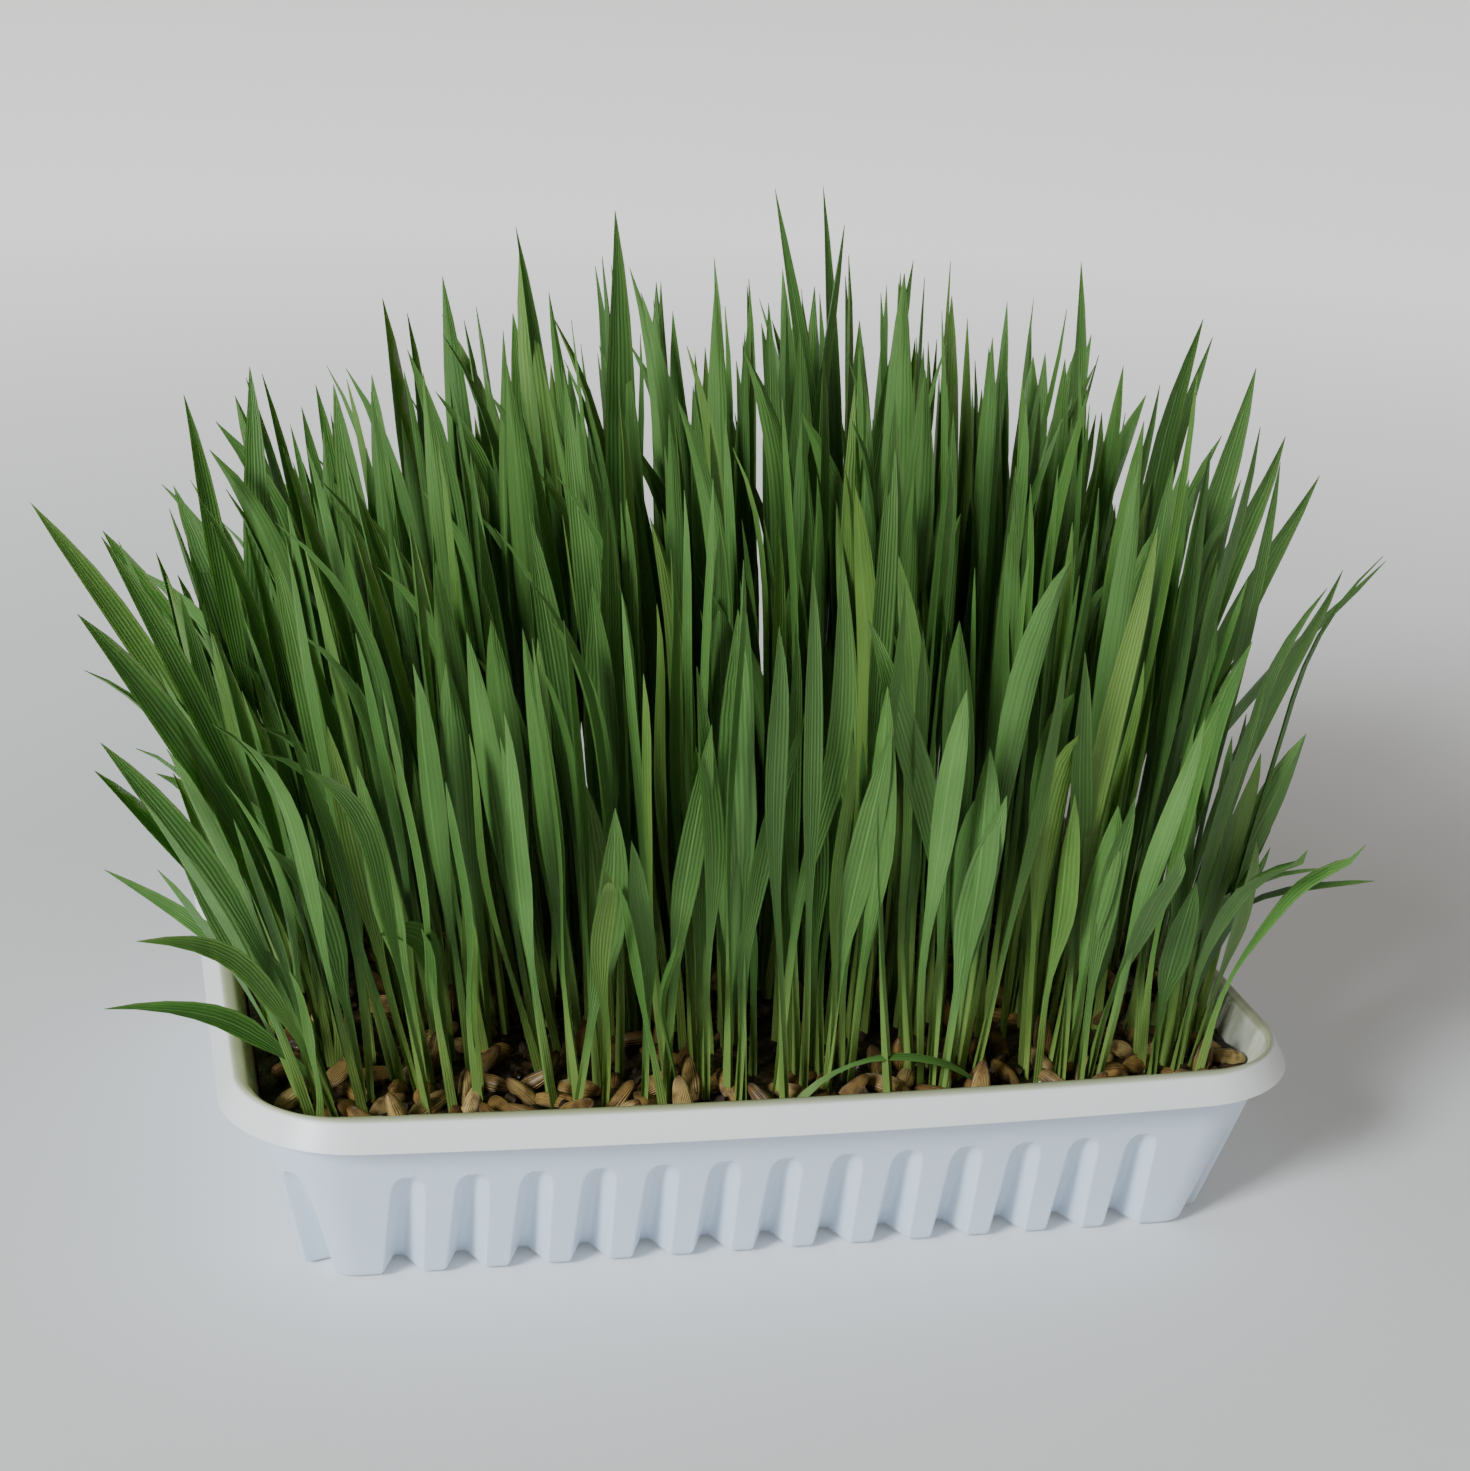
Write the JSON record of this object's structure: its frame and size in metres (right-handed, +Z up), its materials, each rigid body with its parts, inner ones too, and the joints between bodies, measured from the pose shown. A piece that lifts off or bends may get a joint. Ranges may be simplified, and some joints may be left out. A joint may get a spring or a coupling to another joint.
{
  "type": "wheatgrass tray",
  "caption": "White thermoformed tray with fluted walls, filled with wet soil and wheat kernels, with a dense stand of young wheat leaves fanning out above it.",
  "frame": {"origin": "middle of the tray's flat underside", "axes": "+X along the tray's long side, +Y to its back, +Z up, out of the soil"},
  "size_m": [0.236, 0.1594, 0.17],
  "materials": {
    "white_plastic": "satin white thermoformed sheet",
    "wet_soil": "dark wet soil with husked kernels",
    "grass_green": "fresh leaf, satin"
  },
  "bodies": {
    "root": {"tray": "white_plastic", "soil": "wet_soil", "tuft_1_1": "grass_green", "tuft_1_2": "grass_green", "tuft_1_3": "grass_green", "tuft_1_4": "grass_green", "tuft_1_5": "grass_green", "tuft_1_6": "grass_green", "tuft_1_7": "grass_green", "tuft_1_8": "grass_green", "tuft_2_1": "grass_green", "tuft_2_2": "grass_green", "tuft_2_3": "grass_green", "tuft_2_4": "grass_green", "tuft_2_5": "grass_green", "tuft_2_6": "grass_green", "tuft_2_7": "grass_green", "tuft_2_8": "grass_green", "tuft_3_1": "grass_green", "tuft_3_2": "grass_green", "tuft_3_3": "grass_green", "tuft_3_4": "grass_green", "tuft_3_5": "grass_green", "tuft_3_6": "grass_green", "tuft_3_7": "grass_green", "tuft_3_8": "grass_green", "tuft_4_1": "grass_green", "tuft_4_2": "grass_green", "tuft_4_3": "grass_green", "tuft_4_4": "grass_green", "tuft_4_5": "grass_green", "tuft_4_6": "grass_green", "tuft_4_7": "grass_green", "tuft_4_8": "grass_green", "tuft_5_1": "grass_green", "tuft_5_2": "grass_green", "tuft_5_3": "grass_green", "tuft_5_4": "grass_green", "tuft_5_5": "grass_green", "tuft_5_6": "grass_green", "tuft_5_7": "grass_green", "tuft_5_8": "grass_green", "tuft_6_1": "grass_green", "tuft_6_2": "grass_green", "tuft_6_3": "grass_green", "tuft_6_4": "grass_green", "tuft_6_5": "grass_green", "tuft_6_6": "grass_green", "tuft_6_7": "grass_green", "tuft_6_8": "grass_green"}
  },
  "joints": []
}
